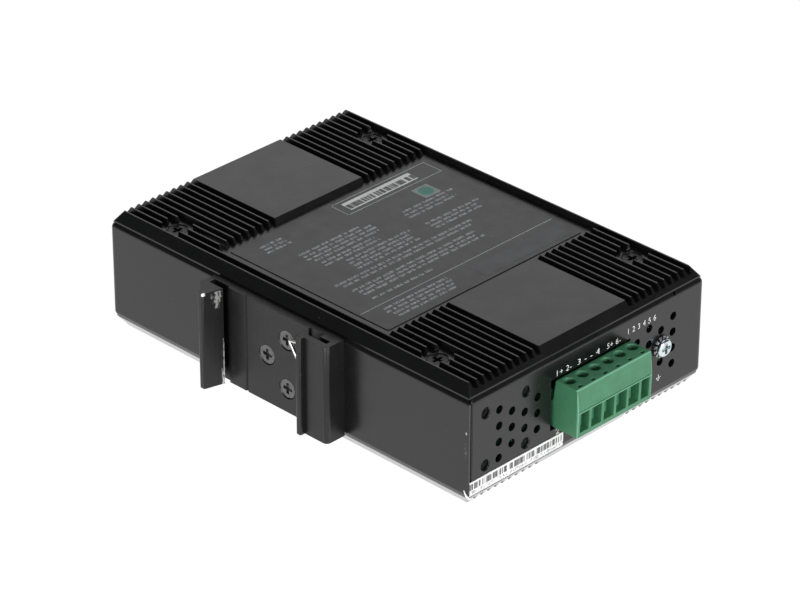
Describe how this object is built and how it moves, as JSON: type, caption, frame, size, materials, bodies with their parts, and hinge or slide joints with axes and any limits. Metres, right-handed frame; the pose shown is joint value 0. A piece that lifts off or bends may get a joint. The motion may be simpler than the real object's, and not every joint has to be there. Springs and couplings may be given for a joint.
{
  "type": "din rail ethernet switch",
  "caption": "Slim network switch in a black metal housing with ribbed covers, a rail clip behind, a pluggable screw terminal at one end and a column of ports in front.",
  "frame": {"origin": "middle of the rail seat: the outer face of the rail clip's plate, midway between the hooks' lips and midway through the housing's thickness", "axes": "+X along the housing's length towards the terminal end, +Y from the rail side to the port side, +Z through the thickness, from the cover it lies on to the labelled cover; the rail runs along Z"},
  "size_m": [0.1486, 0.1043, 0.037],
  "materials": {
    "black_sheet": "satin black powder coat",
    "black_casting": "fine textured satin black",
    "black_screws": "black oxide",
    "label_film": "printed film",
    "white_film": "printed film",
    "face_film": "satin film",
    "clip_black": "black anodised extrusion with worn edges",
    "spring_wire": "bright steel wire",
    "zinc_steel": "zinc plated",
    "bright_screw": "nickel plated",
    "green_plug": "moulded",
    "tinned_metal": "tin plated",
    "board_laminate": "solder resist on glass laminate",
    "shield_sheet": "nickel plated sheet",
    "gold_wire": "gold plated wire",
    "lamp_lens": "diffusing lens",
    "light_pipe": "clear moulded acrylic",
    "lamp_chip": "small lamp",
    "chip_black": "moulded package",
    "thermal_grey": "soft pad",
    "heatsink_alloy": "black anodised",
    "relay_case": "moulded case",
    "ferrite": "pressed core",
    "ceramic_white": "white ceramic body",
    "bright_can": "drawn can",
    "capacitor_sleeve": "shrunk sleeve",
    "copper_coil": "enamelled wire coil",
    "clamp_screw": "zinc plated",
    "cage_metal": "nickel plated",
    "jack_black": "moulded"
  },
  "bodies": {
    "housing": {"chassis_wrap": "black_sheet", "side_cover_upper": "black_casting", "side_cover_lower": "black_casting", "cover_screws_upper": "black_screws", "cover_screws_lower": "black_screws", "side_label": "label_film", "barcode_strip": "white_film", "front_overlay": "face_film", "din_clip": "clip_black", "din_spring": "spring_wire", "din_clip_screws": "black_screws", "clip_press_nuts": "zinc_steel", "bracket_press_nuts": "zinc_steel", "ground_press_nut": "zinc_steel", "ground_washer": "zinc_steel", "ground_screw": "bright_screw", "terminal_header": "green_plug", "header_pins": "tinned_metal", "main_board": "board_laminate", "board_standoffs": "zinc_steel", "board_screws": "zinc_steel", "jack_shields": "shield_sheet", "jack_contacts": "gold_wire", "jack_lamps": "lamp_lens", "light_pipes": "light_pipe", "status_lamps": "lamp_chip", "switch_chip": "chip_black", "thermal_pad": "thermal_grey", "chip_heatsink": "heatsink_alloy", "port_transformers": "chip_black", "alarm_relay": "relay_case", "power_inductor": "ferrite", "power_regulator": "chip_black", "input_fuse": "ceramic_white", "memory_chip": "chip_black", "clock_crystal": "bright_can", "bulk_capacitors": "capacitor_sleeve", "input_choke": "copper_coil", "port_jack_1": "jack_black", "port_jack_2": "jack_black", "port_jack_3": "jack_black", "port_jack_4": "jack_black", "port_jack_5": "jack_black"},
    "plug": {"terminal_plug": "green_plug", "plug_contacts": "tinned_metal"},
    "screw_1": {"terminal_screw_1": "clamp_screw"},
    "clamp_1": {"wire_clamp_1": "cage_metal"},
    "screw_2": {"terminal_screw_2": "clamp_screw"},
    "clamp_2": {"wire_clamp_2": "cage_metal"},
    "screw_3": {"terminal_screw_3": "clamp_screw"},
    "clamp_3": {"wire_clamp_3": "cage_metal"},
    "screw_4": {"terminal_screw_4": "clamp_screw"},
    "clamp_4": {"wire_clamp_4": "cage_metal"},
    "screw_5": {"terminal_screw_5": "clamp_screw"},
    "clamp_5": {"wire_clamp_5": "cage_metal"},
    "screw_6": {"terminal_screw_6": "clamp_screw"},
    "clamp_6": {"wire_clamp_6": "cage_metal"}
  },
  "joints": [
    {"name": "plug_pull", "type": "slide", "parent": "housing", "child": "plug", "axis": [1, 0, 0], "range_m": [0, 0.014]},
    {"name": "screw_turn_1", "type": "hinge", "parent": "plug", "child": "screw_1", "pos_m": [0.07595, 0.0383, 0.0046], "axis": [0, 0, -1], "range_deg": [0, 2003]},
    {"name": "clamp_rise_1", "type": "slide", "parent": "plug", "child": "clamp_1", "axis": [0, 0, 1], "range_m": [0, 0.0025]},
    {"name": "screw_turn_2", "type": "hinge", "parent": "plug", "child": "screw_2", "pos_m": [0.07595, 0.0433, 0.0046], "axis": [0, 0, -1], "range_deg": [0, 2003]},
    {"name": "clamp_rise_2", "type": "slide", "parent": "plug", "child": "clamp_2", "axis": [0, 0, 1], "range_m": [0, 0.0025]},
    {"name": "screw_turn_3", "type": "hinge", "parent": "plug", "child": "screw_3", "pos_m": [0.07595, 0.0483, 0.0046], "axis": [0, 0, -1], "range_deg": [0, 2003]},
    {"name": "clamp_rise_3", "type": "slide", "parent": "plug", "child": "clamp_3", "axis": [0, 0, 1], "range_m": [0, 0.0025]},
    {"name": "screw_turn_4", "type": "hinge", "parent": "plug", "child": "screw_4", "pos_m": [0.07595, 0.0533, 0.0046], "axis": [0, 0, -1], "range_deg": [0, 2003]},
    {"name": "clamp_rise_4", "type": "slide", "parent": "plug", "child": "clamp_4", "axis": [0, 0, 1], "range_m": [0, 0.0025]},
    {"name": "screw_turn_5", "type": "hinge", "parent": "plug", "child": "screw_5", "pos_m": [0.07595, 0.0583, 0.0046], "axis": [0, 0, -1], "range_deg": [0, 2003]},
    {"name": "clamp_rise_5", "type": "slide", "parent": "plug", "child": "clamp_5", "axis": [0, 0, 1], "range_m": [0, 0.0025]},
    {"name": "screw_turn_6", "type": "hinge", "parent": "plug", "child": "screw_6", "pos_m": [0.07595, 0.0633, 0.0046], "axis": [0, 0, -1], "range_deg": [0, 2003]},
    {"name": "clamp_rise_6", "type": "slide", "parent": "plug", "child": "clamp_6", "axis": [0, 0, 1], "range_m": [0, 0.0025]}
  ],
  "couplings": [
    {"joint": "screw_turn_1", "follows": "clamp_rise_1", "rad_per_m": 13963},
    {"joint": "screw_turn_2", "follows": "clamp_rise_2", "rad_per_m": 13963},
    {"joint": "screw_turn_3", "follows": "clamp_rise_3", "rad_per_m": 13963},
    {"joint": "screw_turn_4", "follows": "clamp_rise_4", "rad_per_m": 13963},
    {"joint": "screw_turn_5", "follows": "clamp_rise_5", "rad_per_m": 13963},
    {"joint": "screw_turn_6", "follows": "clamp_rise_6", "rad_per_m": 13963}
  ]
}
